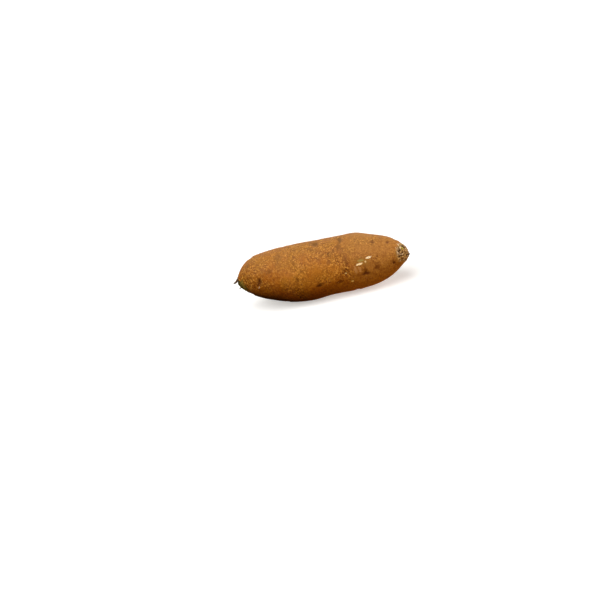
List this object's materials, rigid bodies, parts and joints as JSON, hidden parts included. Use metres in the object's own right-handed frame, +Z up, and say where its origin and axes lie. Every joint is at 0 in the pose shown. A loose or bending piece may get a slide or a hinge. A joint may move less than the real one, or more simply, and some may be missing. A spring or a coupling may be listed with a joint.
{
  "type": "sweet potato",
  "caption": "Whole raw sweet potato: a smooth, slightly curved spindle with shallow eyes, a corky crown scar and a thin tail root, lying on its side.",
  "frame": {"origin": "on the surface that the root rests on, under the centre of its bounding box", "axes": "+X along the root towards the crown, where the vine grew; +Z up; -Y towards the side that the picture shows"},
  "size_m": [0.1718, 0.061, 0.0555],
  "materials": {
    "skin": "matte copper-brown skin"
  },
  "bodies": {
    "root": {"sweet_potato": "skin"}
  },
  "joints": []
}
